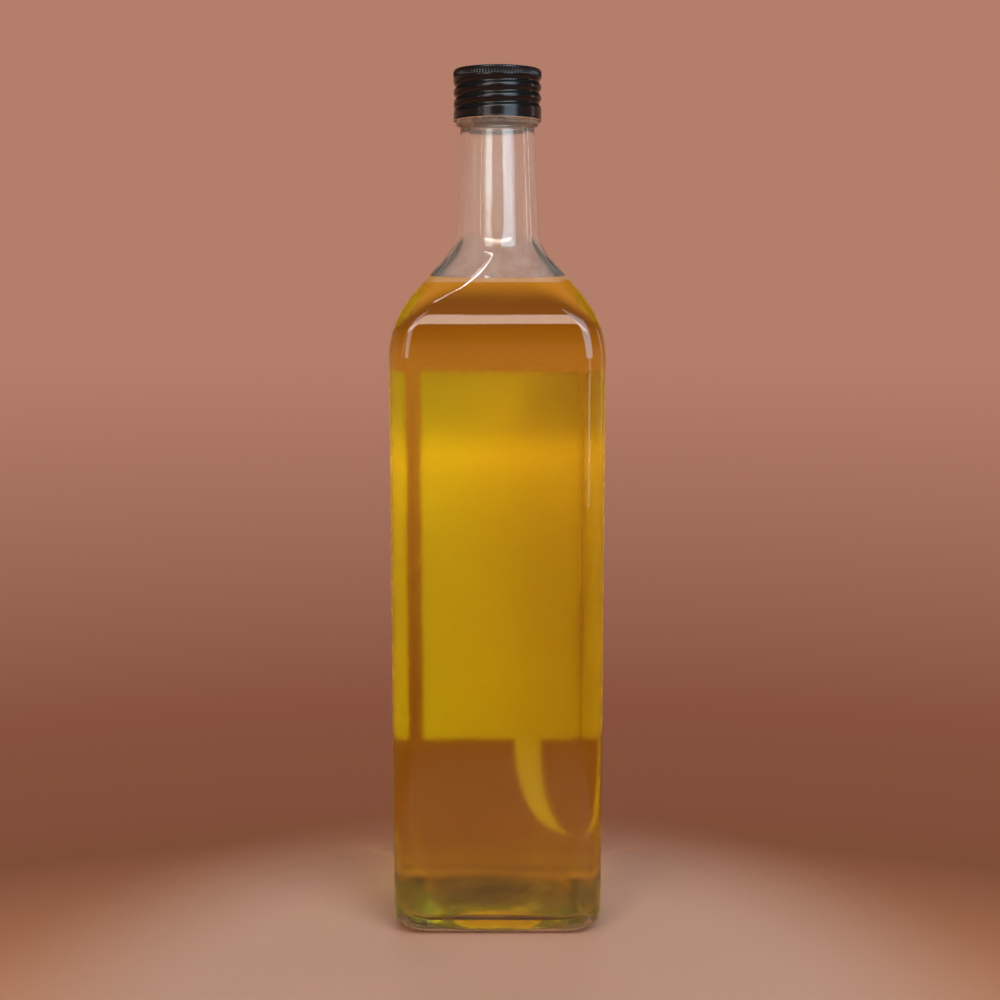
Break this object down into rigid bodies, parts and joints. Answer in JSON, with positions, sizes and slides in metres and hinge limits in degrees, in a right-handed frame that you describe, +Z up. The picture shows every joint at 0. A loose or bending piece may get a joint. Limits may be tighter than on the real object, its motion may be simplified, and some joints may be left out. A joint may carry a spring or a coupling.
{
  "type": "sunflower oil bottle",
  "caption": "Square clear-glass bottle of golden oil with rounded shoulders, a slim round neck, a black screw cap and a plain label on the rear face.",
  "frame": {"origin": "middle of the base, at the height of the surface that the bottle stands on", "axes": "+Z up along the bottle's axis, +Y out of the face that carries the label, +X to the right as seen from the bare front face"},
  "size_m": [0.0746, 0.075, 0.306],
  "materials": {
    "clear_glass": "clear, smooth, with a faint green tint at thick places",
    "sunflower_oil": "clear golden yellow liquid",
    "black_cap": "glossy black lacquer on thin aluminium",
    "label_paper": "matt paper with a plain printed field"
  },
  "bodies": {
    "root": {"bottle_glass": "clear_glass", "oil": "sunflower_oil", "cap": "black_cap", "label": "label_paper"}
  },
  "joints": []
}
